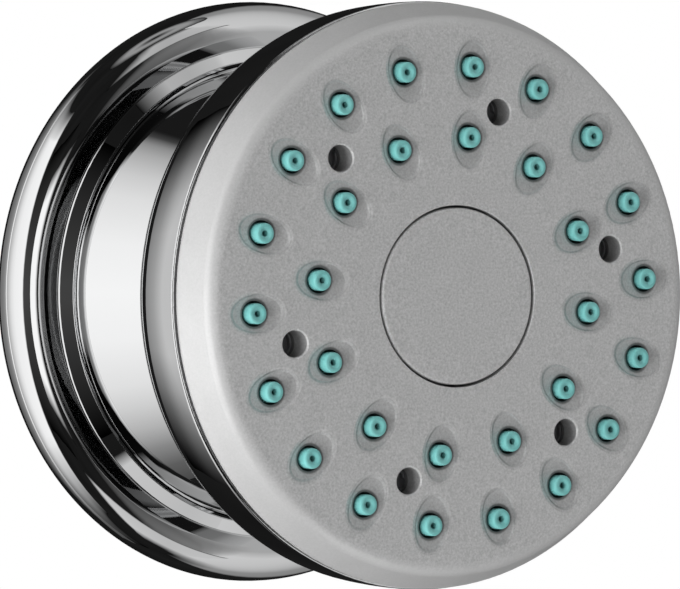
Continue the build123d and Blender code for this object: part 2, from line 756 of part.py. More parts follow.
# Push button
skirt_r = button_r - button_wall
at_skirt = at_cup_floor + travel + 2 * fit
with BuildPart() as push_button:
    with BuildSketch(section):
        with BuildLine():
            edge_r = button_r - button_edge
            at_edge = on_dome(edge_r)
            ThreePointArc((0, projection), (edge_r / 2, on_dome(edge_r / 2)), (edge_r, at_edge))
            ThreePointArc(
                (edge_r, at_edge),
                (edge_r + button_edge * sin(turn), at_edge - button_edge * (1 - cos(turn))),
                (button_r, at_edge - button_edge))
            Polyline(
                (button_r, at_edge - button_edge), (button_r, at_skirt), (skirt_r, at_skirt),
                (skirt_r, at_under), (collar_d / 2, at_under), (collar_d / 2, at_collar_end),
                (stem_r, at_collar_end), (stem_r, at_under), (0, at_under), (0, projection))
        make_face()
    revolve(axis=Axis.Y)
push_button.part.label = "push_button"
export_step(push_button.part, "parts/push_button.step")

# Valve stem with a rivet head that holds the rubber disc
disc_in_r = disc_hole_d / 2
with BuildPart() as valve_stem:
    with BuildSketch(section):
        with BuildLine():
            Polyline(
                (0, at_disc_back - rivet_t), (rivet_d / 2, at_disc_back - rivet_t),
                (rivet_d / 2, at_disc_back),
                (disc_in_r, at_disc_back), (disc_in_r, at_disc_front), (stem_r, at_disc_front),
                (stem_r, at_under), (0, at_under), close=True)
        make_face()
    revolve(axis=Axis.Y)
valve_stem.part.label = "valve_stem"
export_step(valve_stem.part, "parts/valve_stem.step")

with BuildPart() as valve_disc:
    with BuildSketch(facing(at_disc_back)):
        Circle(disc_d / 2)
        Circle(disc_in_r, mode=Mode.SUBTRACT)
    extrude(amount=disc_t)
valve_disc.part.label = "valve_disc"
export_step(valve_disc.part, "parts/valve_disc.step")

# Index rotor of the push latch: its lugs run in the slots of the hub
with BuildPart() as latch_rotor:
    with BuildSketch(facing(at_rotor)):
        Circle(boss_in_r - 3 * fit)
        with PolarLocations(boss_in_r, 4):
            Rectangle(lug, lug)
        Circle(stem_r, mode=Mode.SUBTRACT)
    extrude(amount=at_collar_end - at_rotor)
latch_rotor.part.label = "latch_rotor"
export_step(latch_rotor.part, "parts/latch_rotor.step")

# Return spring between the cup floor and the button
wire_r = wire_d / 2
coil_r = (boss_r + skirt_r) / 2
spring_len = at_under - at_cup_floor - 2 * wire_r
with BuildPart() as return_spring:
    with BuildLine() as coil:
        Helix(pitch=spring_len / 3, height=spring_len, radius=coil_r,
              center=(0, -at_cup_floor - wire_r, 0), direction=(0, -1, 0))
    with BuildSketch(Plane(origin=coil.line @ 0, z_dir=coil.line % 0)):
        Circle(wire_r)
    sweep(path=coil.line)
return_spring.part.label = "return_spring"
export_step(return_spring.part, "parts/return_spring.step")
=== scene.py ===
"""Shower body jet: finishes, fine detail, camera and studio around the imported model."""

import json
from math import cos, floor, pi, radians, sin, sqrt, tan

import bmesh
import bpy
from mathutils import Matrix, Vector


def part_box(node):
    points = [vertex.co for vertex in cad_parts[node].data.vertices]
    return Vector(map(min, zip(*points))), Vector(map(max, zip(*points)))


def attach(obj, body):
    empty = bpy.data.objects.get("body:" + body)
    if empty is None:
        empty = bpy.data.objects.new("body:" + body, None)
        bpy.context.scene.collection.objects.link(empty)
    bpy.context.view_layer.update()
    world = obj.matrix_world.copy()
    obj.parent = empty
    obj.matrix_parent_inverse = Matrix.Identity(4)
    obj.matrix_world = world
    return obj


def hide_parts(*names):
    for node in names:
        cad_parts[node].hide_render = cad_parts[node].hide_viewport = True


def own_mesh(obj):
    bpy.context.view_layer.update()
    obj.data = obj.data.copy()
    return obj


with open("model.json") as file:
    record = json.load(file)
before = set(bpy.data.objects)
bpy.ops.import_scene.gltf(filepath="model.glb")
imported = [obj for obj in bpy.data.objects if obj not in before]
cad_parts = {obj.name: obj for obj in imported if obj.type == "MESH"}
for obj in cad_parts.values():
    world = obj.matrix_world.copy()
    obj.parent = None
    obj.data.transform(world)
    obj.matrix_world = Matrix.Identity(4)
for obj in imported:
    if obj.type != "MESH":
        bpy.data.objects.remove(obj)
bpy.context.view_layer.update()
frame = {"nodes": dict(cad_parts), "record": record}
nodes = frame["nodes"]

MM = 0.001
BLACK = (0, 0, 0, 1)


def grey(tone):
    """Neutral colour of one tone."""
    return (tone, tone, tone, 1)


class Value:
    """A socket of a node tree. Sums on it add Math nodes, and node() adds any other kind."""

    def __init__(self, tree, socket=None):
        self.tree = tree
        self.socket = socket

    def node(self, kind, settings=None, sockets=None, out=0):
        """Adds a node: its settings first, then the values or links of its sockets. Gives one output."""
        made = self.tree.nodes.new("ShaderNode" + kind)
        for name, setting in (settings or {}).items():
            if name == "stops":
                self.set_stops(made.color_ramp, setting)
            else:
                setattr(made, name, setting)
        for name, value in (sockets or {}).items():
            if isinstance(value, Value):
                self.tree.links.new(value.socket, made.inputs[name])
            else:
                made.inputs[name].default_value = value
        return Value(self.tree, made.outputs[out] if len(made.outputs) else None)

    @staticmethod
    def set_stops(ramp, stops):
        """Places a ramp's stops, each a position with a grey."""
        while len(ramp.elements) < len(stops):
            ramp.elements.new(1)
        for element, (place, tone) in zip(ramp.elements, stops):
            element.position = place
            element.color = grey(tone)

    def math(self, operation, *values):
        return self.node("Math", {"operation": operation}, dict(enumerate(values)))

    def __add__(self, other):
        return self.math("ADD", self, other)

    def __sub__(self, other):
        return self.math("SUBTRACT", self, other)

    def __rsub__(self, other):
        return self.math("SUBTRACT", other, self)

    def __mul__(self, other):
        return self.math("MULTIPLY", self, other)

    __radd__ = __add__
    __rmul__ = __mul__

    def clamp(self, low, high):
        return self.math("MINIMUM", self.math("MAXIMUM", self, low), high)

    def shows(self):
        """1 for rays from the camera, from a mirror or through something clear, and 0 for all others."""
        kinds = ("Is Camera Ray", "Is Glossy Ray", "Is Transmission Ray")
        seen, mirrored, clear = (self.node("LightPath", out=kind) for kind in kinds)
        return (seen + mirrored + clear).clamp(0, 1)


class Finish(Value):
    """A material being made, with the patterns that several finishes share."""

    def __init__(self, name):
        self.material = bpy.data.materials.new(name)
        self.material.use_nodes = True
        super().__init__(self.material.node_tree)
        self.tree.nodes.clear()
        self.place = self.node("TexCoord", out="Object")

    def noise(self, size, detail=2, roughness=0.5):
        """Cloudy pattern from 0 to 1 whose lumps are about this many metres across."""
        sockets = {"Vector": self.place, "Scale": 1 / size, "Detail": detail, "Roughness": roughness}
        return self.node("TexNoise", sockets=sockets)

    def cells(self, size):
        """Distance to the nearest of scattered points, about this many metres apart."""
        return self.node("TexVoronoi", sockets={"Vector": self.place, "Scale": 1 / size})

    def along(self, axis):
        """Place along X, Y or Z, in metres. The jet's axis is Y."""
        return self.node("SeparateXYZ", sockets={"Vector": self.place}, out=axis)

    def round_jet(self):
        """Metres from the jet axis, and the turn about it in radians."""
        x, z = self.along("X"), self.along("Z")
        return self.math("SQRT", x * x + z * z), self.math("ARCTAN2", z, x)

    def spots(self, ring_r, count, phase):
        """Place about the nearest spot of a ring on the face: metres outwards from it, and metres round."""
        radius, angle = self.round_jet()
        off = self.math("WRAP", angle - radians(phase), pi / count, -pi / count)
        return radius * self.math("COSINE", off) - ring_r, radius * self.math("SINE", off)

    def inside(self, out, across, half_out, half_across, edge=0.08 * MM):
        """1 inside an oval about a spot and 0 outside, with a narrow edge."""
        out_share = out * (1 / half_out)
        across_share = across * (1 / half_across)
        far = self.math("SQRT", out_share * out_share + across_share * across_share)
        return ((1 - far) * (half_across / edge)).clamp(0, 1)

    def blend(self, share, first, second):
        """Colour from first to second by a share from 0 to 1. The colour is the node's third output."""
        return self.node("Mix", {"data_type": "RGBA"}, {"Factor": share, "A": first, "B": second}, out=2)

    def bump(self, height, metres, strength=1.0, over=None):
        """Relief from a height of 0 to 1, on top of another relief where one is given."""
        sockets = {"Height": height, "Distance": metres, "Strength": strength}
        if over:
            sockets["Normal"] = over
        return self.node("Bump", sockets=sockets)

    def surface(self, **sockets):
        """Closes the material with one Principled shader; underscores stand for spaces."""
        named = {name.replace("_", " "): value for name, value in sockets.items()}
        shader = self.node("BsdfPrincipled", sockets=named)
        self.node("OutputMaterial", sockets={"Surface": shader})
        return self.material

    def glow(self, colour):
        """Closes the material as one that shines with a colour and mirrors nothing."""
        return self.surface(
            Base_Color=BLACK, Roughness=1.0, Specular_IOR_Level=0.0, Emission_Color=colour,
            Emission_Strength=1.0)


# Step of the escutcheon beside its collar, as in the solids
STEP_IN_R = 42.6 * MM
STEP_OUT_R = 46.4 * MM
STEP_EDGE = 0.15 * MM
STEP_FADE = 1.2 * MM

# Painted shade on the step: where its darker flanks begin, as the square of the cosine of the turn, and how
# fast
FLANK_SHADE_START = 0.1
FLANK_SHADE_FADE = 0.45

# Pattern of the face: rings, dimples and holes as in the solids, with the painted shade and the rims drawn on
# them
NOZZLE_RINGS = ((39 * MM, 18), (27 * MM, 12))
NOZZLE_PHASE = 83.9
NOZZLE_GAP_SHADE_R = 2.2 * MM
NOZZLE_SHADE_R = 2.75 * MM
DIMPLE_LEN = 10.2 * MM
DIMPLE_WID = 6.8 * MM
DIMPLE_SHIFT = 0.35 * MM
SHOULDER_R = 47.5 * MM
SHOULDER_FADE = 2.5 * MM
RIM_W = 0.7 * MM
RIM_DEEP = 0.3 * MM
AIR_RING_R = 32.4 * MM
AIR_COUNT = 6
AIR_PHASE = 73.9
AIR_R = 2.33 * MM
AIR_SHADE_R = 1.5 * AIR_R
SHADE_EDGE = 0.3 * MM

# Strength of the face's grain, of what is left of it on the shoulder, and of the painted shade in the dimples
# and round the nozzles
GRAIN_CONTRAST = 2.2
SHOULDER_SHARE = 0.25
DIMPLE_SHADE = 0.25
NOZZLE_SHADE_DARK = 0.75

# Turned brass: distance between the tool's rings
TOOL_PITCH = 0.35 * MM


def chrome(name, shaded_step):
    """Polished plating: a clean mirror with a breath of haze. A stepped piece has painted shade in its narrow
    step, darkest at the step's left and right, as it looks in the photograph."""
    f = Finish(name)
    haze = f.noise(9 * MM, detail=3)
    colour = (0.92, 0.924, 0.928, 1)
    if shaded_step:
        # Painted shade in the narrow step, darkest at its left and right flanks
        radius, angle = f.round_jet()
        from_inside = (radius - STEP_IN_R) * (1 / STEP_EDGE)
        from_outside = (STEP_OUT_R - radius) * (1 / STEP_FADE)
        step = f.math("MINIMUM", from_inside, from_outside).clamp(0, 1)
        side = f.math("COSINE", angle)
        painted_flank_shade = ((side * side - FLANK_SHADE_START) * (1 / FLANK_SHADE_FADE)).clamp(0, 1)
        painted_shade = f.blend(painted_flank_shade, (0.6, 0.603, 0.606, 1), (0.14, 0.141, 0.142, 1))
        colour = f.blend(step, colour, painted_shade)
    return f.surface(Base_Color=colour, Metallic=1.0, Roughness=haze * 0.02 + 0.01)


def dimples(f, colour, relief, ring_r, count):
    """One ring of dimples on the face: soft rims, painted shade on the floors, painted shadow round each
    nozzle, black in its gap.
    """
    out, across = f.spots(ring_r, count, NOZZLE_PHASE)
    from_middle = out + DIMPLE_SHIFT
    half_len, half_wid = DIMPLE_LEN / 2, DIMPLE_WID / 2
    # Painted shade on the dimple floors
    painted_shade = f.inside(from_middle, across, half_len, half_wid)
    rim = f.inside(from_middle, across, half_len + RIM_W / 2, half_wid + RIM_W / 2, RIM_W)
    # Painted black shade in the gap round the nozzle, on the hole's chamfer and walls
    painted_gap_shade = f.inside(out, across, NOZZLE_GAP_SHADE_R, NOZZLE_GAP_SHADE_R)
    # Painted shadow round the nozzle
    painted_shade_spot = f.inside(out, across, NOZZLE_SHADE_R, NOZZLE_SHADE_R, SHADE_EDGE)
    colour = f.blend(painted_shade * DIMPLE_SHADE, colour, grey(0.2))
    colour = f.blend(painted_shade_spot * NOZZLE_SHADE_DARK, colour, grey(0.05))
    colour = f.blend(painted_gap_shade, colour, (0.006, 0.007, 0.007, 1))
    return colour, f.bump(1 - rim, RIM_DEEP, over=relief)


def air_holes(f, colour):
    """Painted shade, mottled, on the insides of the air holes."""
    out, across = f.spots(AIR_RING_R, AIR_COUNT, AIR_PHASE)
    hole = f.inside(out, across, AIR_R, AIR_R)
    # Painted shade inside each air hole
    painted_hole_shade = f.blend(f.noise(0.5 * MM).clamp(0, 1), grey(0.1), grey(0.3))
    return f.blend(hole, colour, painted_hole_shade)


def satin_chrome(name, drilled):
    """Pearl plating with a fine even grain. A drilled face is smoother on its shoulder, and has painted shade
    in its dimples, round its nozzles and in its holes."""
    f = Finish(name)
    grain = f.noise(0.38 * MM, roughness=0.6)
    cloud = f.noise(5 * MM)
    contrast = GRAIN_CONTRAST
    if drilled:
        radius, _ = f.round_jet()
        inwards = (SHOULDER_R - radius) * (GRAIN_CONTRAST / SHOULDER_FADE)
        contrast = inwards.clamp(SHOULDER_SHARE * GRAIN_CONTRAST, GRAIN_CONTRAST)
    tone = (grain - 0.5) * contrast + 0.5 + (cloud - 0.5) * 0.2
    colour = f.blend(tone.clamp(0, 1), grey(0.375), grey(0.56))
    relief = f.bump(grain, 0.012 * MM, strength=0.3)
    if drilled:
        for ring_r, count in NOZZLE_RINGS:
            colour, relief = dimples(f, colour, relief, ring_r, count)
        colour = air_holes(f, colour)
    return f.surface(Base_Color=colour, Metallic=0.6, Roughness=grain * 0.12 + 0.4, Normal=relief)


def teal_silicone():
    """Soft nozzle rubber: even colour with a faint bloom, and painted shade where it lies under the air holes.
    """
    f = Finish("teal_silicone")
    bloom = f.noise(1.1 * MM)
    colour = f.blend(bloom.clamp(0, 1), (0.092, 0.28, 0.27, 1), (0.12, 0.32, 0.31, 1))
    out, across = f.spots(AIR_RING_R, AIR_COUNT, AIR_PHASE)
    # Painted shade on the rubber under each air hole
    painted_shade_spot = f.inside(out, across, AIR_SHADE_R, AIR_SHADE_R, SHADE_EDGE)
    colour = f.blend(painted_shade_spot, colour, grey(0.12))
    return f.surface(
        Base_Color=colour, Roughness=bloom * 0.15 + 0.36, Subsurface_Weight=0.12,
        Subsurface_Radius=(0.6, 1.0, 1.0), Subsurface_Scale=0.5 * MM,
        Normal=f.bump(bloom, 0.01 * MM, strength=0.5))


def brass():
    """Turned brass: rings from the tool and a little tarnish."""
    f = Finish("brass")
    tarnish = f.noise(3 * MM, detail=4, roughness=0.6)
    rings = f.math("SINE", f.along("Y") * (2 * pi / TOOL_PITCH))
    colour = f.blend(tarnish.clamp(0, 1), (0.64, 0.43, 0.17, 1), (0.8, 0.58, 0.27, 1))
    return f.surface(
        Base_Color=colour, Metallic=1.0, Roughness=tarnish * 0.2 + 0.18,
        Normal=f.bump(rings, 0.004 * MM, strength=0.5))


def stainless():
    """Bright wire and sheet steel with a mottled sheen."""
    f = Finish("stainless")
    sheen = f.noise(0.6 * MM, detail=4, roughness=0.7)
    colour = f.blend(sheen.clamp(0, 1), (0.5, 0.51, 0.52, 1), (0.64, 0.65, 0.66, 1))
    return f.surface(Base_Color=colour, Metallic=1.0, Roughness=sheen * 0.2 + 0.16)


def moulded(name, dark, light, roughness):
    """Injection moulded plastic with a fine eroded texture."""
    f = Finish(name)
    skin = f.noise(0.4 * MM, detail=3, roughness=0.6)
    colour = f.blend(f.noise(6 * MM).clamp(0, 1), dark, light)
    return f.surface(
        Base_Color=colour, Roughness=skin * 0.14 + roughness, Normal=f.bump(skin, 0.015 * MM, strength=0.6))


def black_rubber():
    """Seal rubber: dull, with a grey bloom."""
    f = Finish("black_rubber")
    bloom = f.noise(1.6 * MM, detail=4, roughness=0.6)
    colour = f.blend(bloom.clamp(0, 1), (0.01, 0.01, 0.011, 1), (0.032, 0.032, 0.034, 1))
    return f.surface(
        Base_Color=colour, Roughness=bloom * 0.2 + 0.52, Normal=f.bump(bloom, 0.02 * MM, strength=0.6))


def gasket_foam():
    """Closed cell foam: small round pores."""
    f = Finish("gasket_foam")
    pores = f.cells(0.55 * MM)
    colour = f.blend((pores * 1.3).clamp(0, 1), (0.045, 0.045, 0.047, 1), (0.012, 0.012, 0.013, 1))
    relief = f.bump(pores, 0.12 * MM, strength=0.8)
    return f.surface(Base_Color=colour, Roughness=0.9 - pores * 0.15, Normal=relief)


finishes = {
    "chrome": chrome("chrome", shaded_step=False),
    "satin_chrome": satin_chrome("satin_chrome", drilled=False),
    "teal_silicone": teal_silicone(),
    "brass": brass(),
    "stainless": stainless(),
    "grey_plastic": moulded("grey_plastic", (0.16, 0.163, 0.168, 1), (0.24, 0.244, 0.25, 1), 0.42),
    "white_plastic": moulded("white_plastic", (0.66, 0.66, 0.62, 1), (0.74, 0.74, 0.7, 1), 0.38),
    "black_rubber": black_rubber(),
}


def dress(obj, material):
    """One finish on every face of a piece."""
    obj.data.materials.clear()
    obj.data.materials.append(material)


for piece in frame["record"]["subparts"]:
    dress(nodes[piece["node"]], finishes[piece["material_slot"]])
dress(nodes["wall_gasket"], gasket_foam())
dress(nodes["face_plate"], satin_chrome("drilled_satin", drilled=True))
# The escutcheon gets painted shade in its step
dress(nodes["escutcheon"], chrome("stepped_chrome", shaded_step=True))


def add_object(name, data):
    """Puts a mesh, a lamp or a camera into the scene."""
    made = bpy.data.objects.new(name, data)
    bpy.context.scene.collection.objects.link(made)
    return made


def mesh_data(name, mesh):
    """Closes a mesh that is being built, as data for an object."""
    data = bpy.data.meshes.new(name)
    mesh.to_mesh(data)
    mesh.free()
    return data


def new_piece(name, mesh, slot, stands_for, sharp=30, body="wall_side"):
    """Adds a mesh as a piece of a body that stands for a CAD node. Edges past the sharp angle stay crisp."""
    mesh.normal_update()
    data = mesh_data(name, mesh)
    if "custom_normal" in data.attributes:
        data.attributes.remove(data.attributes["custom_normal"])
    data.polygons.foreach_set("use_smooth", [True] * len(data.polygons))
    data.set_sharp_from_angle(angle=radians(sharp))
    piece = add_object(name, data)
    dress(piece, finishes[slot])
    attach(piece, body)
    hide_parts(stands_for)
    return piece


def stitch(mesh, rows, closed=False, rings=True):
    """Faces between rows of vertices that all have the same count. The rows are rings, or else open strips. A
    closed body joins its last row to its first."""
    pairs = list(zip(rows, rows[1:]))
    if closed:
        pairs.append((rows[-1], rows[0]))
    for low, high in pairs:
        for k in range(len(low) if rings else len(low) - 1):
            n = (k + 1) % len(low)
            mesh.faces.new((low[k], low[n], high[n], high[k]))


def turned_ring(mesh, sides, radius, station):
    """Ring of vertices about the jet axis, at a station out from the wall. Radius and station may be functions
    of the turn."""
    made = []
    for k in range(sides):
        turn = k / sides
        r = radius(turn) if callable(radius) else radius
        s = station(turn) if callable(station) else station
        made.append(mesh.verts.new((r * cos(2 * pi * turn), -s, r * sin(2 * pi * turn))))
    return made


# Inlet nipple, as in the solids, with the thread cut into its plain cylinder. Stations run out from the wall,
# and the flat is the share of the thread's wave that is cut off at crest and groove.
NIPPLE_SIDES = 144
THREAD_R = 20.955 / 2 * MM
THREAD_DEEP = 1.16 * MM
THREAD_PITCH = 1.814 * MM
THREAD_FLAT = 0.12
THREAD_END = 18 * MM
THREAD_LEAD = 1.3 * MM
THREAD_RUN_OUT = 1.4 * MM
THREAD_STEPS = 132
HEX_AF = 32 * MM
HEX_TURNED = 0.2 * MM
HEX_BACK = 2 * MM
HEX_FRONT = 9 * MM
SPIGOT_R = 11.5 * MM
SPIGOT_END = 19 * MM
TAIL_R = 7.55 * MM
TAIL_STOP = 8 * MM
BORE_R = 6.5 * MM
MOUTH_R = 8 * MM
MOUTH_DEEP = 6 * MM
NIPPLE_SHARP = 28


def thread_height(station, turn):
    """Rounded pipe thread, from 0 in the groove to 1 on the crest."""
    phase = station / THREAD_PITCH - turn
    wave = 0.5 + 0.5 * cos(2 * pi * (phase - floor(phase)))
    return min(1.0, max(0.0, (wave - THREAD_FLAT) / (1 - 2 * THREAD_FLAT)))


def thread_r(station):
    """Radius of the thread at a station, by the turn. It rises from the end and runs out before the hex."""
    lead = min(1.0, (station + THREAD_END) / THREAD_LEAD)
    fade = min(1.0, max(0.0, (HEX_BACK - station) / THREAD_RUN_OUT))
    return lambda turn: THREAD_R - THREAD_DEEP * (1 - lead * fade * thread_height(station, turn))


def hex_r(turn):
    """Half width of the hex in this direction; flats lie above and below."""
    off = (turn * 360 + 30) % 60 - 30
    return HEX_AF / 2 / cos(radians(30 - abs(off)))


def corner_drop(turn):
    """How far the hex's turned end falls back towards its corners."""
    return (hex_r(turn) - HEX_AF / 2) * tan(radians(30))


def inlet_nipple():
    """Inlet nipple with its pipe thread and a hex with turned corners."""
    mesh = bmesh.new()
    bore_start = MOUTH_DEEP - THREAD_END
    face_r = HEX_AF / 2 - HEX_TURNED
    stations = [-THREAD_END + (THREAD_END + HEX_BACK) * i / THREAD_STEPS for i in range(THREAD_STEPS + 1)]
    outline = [(MOUTH_R, -THREAD_END), (THREAD_R - THREAD_DEEP, -THREAD_END)]
    outline += [(thread_r(station), station) for station in stations]
    outline += [
        (face_r, HEX_BACK),
        (hex_r, lambda turn: HEX_BACK + corner_drop(turn)),
        (hex_r, lambda turn: HEX_FRONT - corner_drop(turn)),
        (face_r, HEX_FRONT),
        (SPIGOT_R, HEX_FRONT),
        (SPIGOT_R, SPIGOT_END),
        (TAIL_R, SPIGOT_END),
        (TAIL_R, TAIL_STOP),
        (BORE_R, TAIL_STOP),
        (BORE_R, bore_start),
        (MOUTH_R, bore_start),
    ]
    rings = [turned_ring(mesh, NIPPLE_SIDES, radius, station) for radius, station in outline]
    stitch(mesh, rings, closed=True)
    bmesh.ops.recalc_face_normals(mesh, faces=mesh.faces)
    return new_piece("inlet_nipple", mesh, "brass", "wall_nipple", NIPPLE_SHARP)


def tube(mesh, points, radius, sides):
    """Round wire along points. The lean is a direction that no wire takes."""
    lean = Vector((0.3, 1, 0.2))
    rings = []
    for i, point in enumerate(points):
        ahead = points[min(i + 1, len(points) - 1)] - points[max(i - 1, 0)]
        side = ahead.cross(lean).normalized()
        up = ahead.cross(side).normalized()
        turns = [2 * pi * k / sides for k in range(sides)]
        rings.append([mesh.verts.new(point + (side * cos(turn) + up * sin(turn)) * radius) for turn in turns])
    stitch(mesh, rings)
    mesh.faces.new(rings[0][::-1])
    mesh.faces.new(rings[-1])


# Strainer in the nipple's mouth: outline of its rolled rim and cup in millimetres, radius and station
STRAINER_SIDES = 72
STRAINER_OUTLINE = (
    (6.4, -17.75), (6.65, -18), (7.65, -18), (7.9, -17.75), (7.9, -17.05), (7.65, -16.8), (6.2, -16.8),
    (5.62, -12.6), (5.5, -12.45), (5.2, -12.45), (5.1, -12.7), (5.62, -16.9))
STRAINER_SHARP = 40
WEAVE_WIRE_R = 0.1 * MM
WEAVE_WIRE_SIDES = 5
WEAVE_PITCH = 0.5 * MM
WEAVE_REACH = 5.3 * MM
WEAVE_AT = 12.75 * MM
WEAVE_STEPS = 4


def woven_strainer():
    """Cup strainer: rolled rim, pressed cup and a woven wire floor."""
    mesh = bmesh.new()
    rings = [turned_ring(mesh, STRAINER_SIDES, r * MM, s * MM) for r, s in STRAINER_OUTLINE]
    stitch(mesh, rings, closed=True)
    count = int(WEAVE_REACH / WEAVE_PITCH)
    for upright in (0, 1):
        for line in range(-count, count + 1):
            offset = line * WEAVE_PITCH
            half = sqrt(WEAVE_REACH ** 2 - offset ** 2)
            steps = max(2, int(half / WEAVE_PITCH * WEAVE_STEPS))
            points = []
            for i in range(2 * steps + 1):
                run = -half + half * i / steps
                depth = WEAVE_AT + WEAVE_WIRE_R * cos(pi * (run / WEAVE_PITCH + line + upright))
                points.append(Vector((offset, depth, run) if upright else (run, depth, offset)))
            tube(mesh, points, WEAVE_WIRE_R, WEAVE_WIRE_SIDES)
    bmesh.ops.recalc_face_normals(mesh, faces=mesh.faces)
    return new_piece("woven_strainer", mesh, "stainless", "inlet_strainer", STRAINER_SHARP)


# Return spring: its wire, its turns, the steps in each, and how thin the wire is drawn to stay in its solid.
# Button: how near points are welded.
SPRING_WIRE = 0.8 * MM
SPRING_CLOSED = 0.75
SPRING_ACTIVE = 2.5
SPRING_STEPS = 48
SPRING_WIRE_SIDES = 12
SPRING_SLACK = 0.97
SPRING_SHARP = 60
WELD = 0.002 * MM


def coil_spring():
    """Return spring under the button, with closed ends."""
    low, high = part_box("return_spring")
    wire_r = SPRING_WIRE / 2
    coil_r = high[0] - wire_r
    foot, length = high[1], high[1] - low[1]
    climb = length - 2 * wire_r - 2 * SPRING_CLOSED * SPRING_WIRE
    mesh = bmesh.new()
    points = []
    for k in range(int((2 * SPRING_CLOSED + SPRING_ACTIVE) * SPRING_STEPS) + 1):
        turn = k / SPRING_STEPS
        open_turns = min(max(turn - SPRING_CLOSED, 0), SPRING_ACTIVE)
        rise = wire_r + (turn - open_turns) * SPRING_WIRE + open_turns / SPRING_ACTIVE * climb
        points.append(Vector((coil_r * cos(2 * pi * turn), foot - rise, coil_r * sin(2 * pi * turn))))
    tube(mesh, points, wire_r * SPRING_SLACK, SPRING_WIRE_SIDES)
    bmesh.ops.recalc_face_normals(mesh, faces=mesh.faces)
    piece = new_piece("coil_spring", mesh, "stainless", "return_spring", SPRING_SHARP, "head")
    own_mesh(piece)
    return piece


def button_cap():
    """Button as in the solids, welded so that its crown shades evenly."""
    mesh = bmesh.new()
    mesh.from_mesh(nodes["push_button"].data)
    bmesh.ops.remove_doubles(mesh, verts=mesh.verts, dist=WELD)
    bmesh.ops.dissolve_degenerate(mesh, edges=mesh.edges, dist=WELD)
    return new_piece("button_cap", mesh, "satin_chrome", "push_button", body="button")


inlet_nipple()
woven_strainer()
coil_spring()
button_cap()


# Studio, in metres. Bearings are degrees from straight in front of the jet, positive to the left as seen
# from there.
JET_MIDDLE = Vector((0, -35 * MM, 0))
PANEL_ACROSS = 48
PANEL_ALONG = 24
BOW_RISE = 50
TENT_R = 1.45
FLOOR_HALF = 4.0
FLOOR_LEVEL = -1.5


def bearing(angle, rise):
    """Direction from the jet, by its bearing and its rise in degrees."""
    a, e = radians(angle), radians(rise)
    return Vector((-sin(a) * cos(e), -cos(a) * cos(e), sin(e)))


def stage_piece(name, mesh, material, only_mirrored):
    """Adds a mesh of the studio; an only_mirrored one shows in shiny surfaces and nowhere else."""
    data = mesh_data(name, mesh)
    data.materials.append(material)
    piece = add_object(name, data)
    if only_mirrored:
        piece.visible_camera = False
        piece.visible_diffuse = False
        piece.visible_transmission = False
        piece.visible_shadow = False
    return piece


def panel(name, tones, rises, soft, away=1.2, round_jet=False, bow=0, dip=0):
    """Curved light panel on a sphere about the jet. Tones are bearings with a grey each, and soft gives the
    degrees over which its lower and its upper edge fade. With round_jet the sphere's poles lie on the jet
    axis, its top towards the wall: bearing 0 is then above the jet, 90 to its left and 180 below it. bow
    shifts the panel's bearings by that many degrees at BOW_RISE, and dip lowers the upper edge by that many
    at both ends."""
    start, end = tones[0][0], tones[-1][0]
    span = end - start
    low, high = rises

    def corner(share, up):
        rise = low + (high - dip * (2 * share - 1) ** 2 - low) * up
        return bearing(start + span * share + bow * (rise / BOW_RISE) ** 2, rise) * away

    mesh = bmesh.new()
    rows = [
        [mesh.verts.new(corner(k / PANEL_ACROSS, i / PANEL_ALONG)) for k in range(PANEL_ACROSS + 1)]
        for i in range(PANEL_ALONG + 1)]
    stitch(mesh, rows, rings=False)
    f = Finish(name)
    x, y, z = (f.along(axis) for axis in "XYZ")
    middle = radians((start + end) / 2)
    aside = x * -cos(middle) + y * sin(middle)
    ahead = x * -sin(middle) + y * -cos(middle)
    height = f.math("ARCSINE", z * (1 / away)) * (180 / pi)
    bowed = height * height * (bow / BOW_RISE ** 2 / span)
    from_middle = f.math("ARCTAN2", aside, ahead) * (180 / pi / span) - bowed
    stops = [((angle - start) / span, tone) for angle, tone in tones]
    tone = f.node("ValToRGB", {"stops": stops}, {"Fac": from_middle + 0.5})
    top = high - from_middle * from_middle * (4 * dip)
    edge = f.math("MINIMUM", (height - low) * (1 / soft[0]), (top - height) * (1 / soft[1]))
    colour = f.blend(edge.clamp(0, 1), BLACK, tone)
    piece = stage_piece(name, mesh, f.glow(colour), only_mirrored=True)
    piece.location = JET_MIDDLE
    if round_jet:
        piece.rotation_euler = (-pi / 2, 0, 0)
    return piece


def dark_tent(tone):
    """Dark cloth all round, which the polished faces show between the panels."""
    mesh = bmesh.new()
    bmesh.ops.create_icosphere(mesh, subdivisions=4, radius=TENT_R)
    f = Finish("tent_cloth")
    fold = f.noise(0.5)
    colour = f.blend(fold.clamp(0, 1), grey(tone * 0.5), grey(tone * 1.5))
    return stage_piece("dark_tent", mesh, f.glow(colour), only_mirrored=True)


def lamp(name, angle, rise, away, size, power):
    """Square lamp that points at the jet and leaves no mark in the polished faces."""
    data = bpy.data.lights.new(name, "AREA")
    data.shape = "SQUARE"
    data.size = size
    data.energy = power
    piece = add_object(name, data)
    piece.location = JET_MIDDLE + bearing(angle, rise) * away
    piece.rotation_mode = "QUATERNION"
    piece.rotation_quaternion = bearing(angle, rise).to_track_quat("Z", "Y")
    piece.visible_glossy = False
    return piece


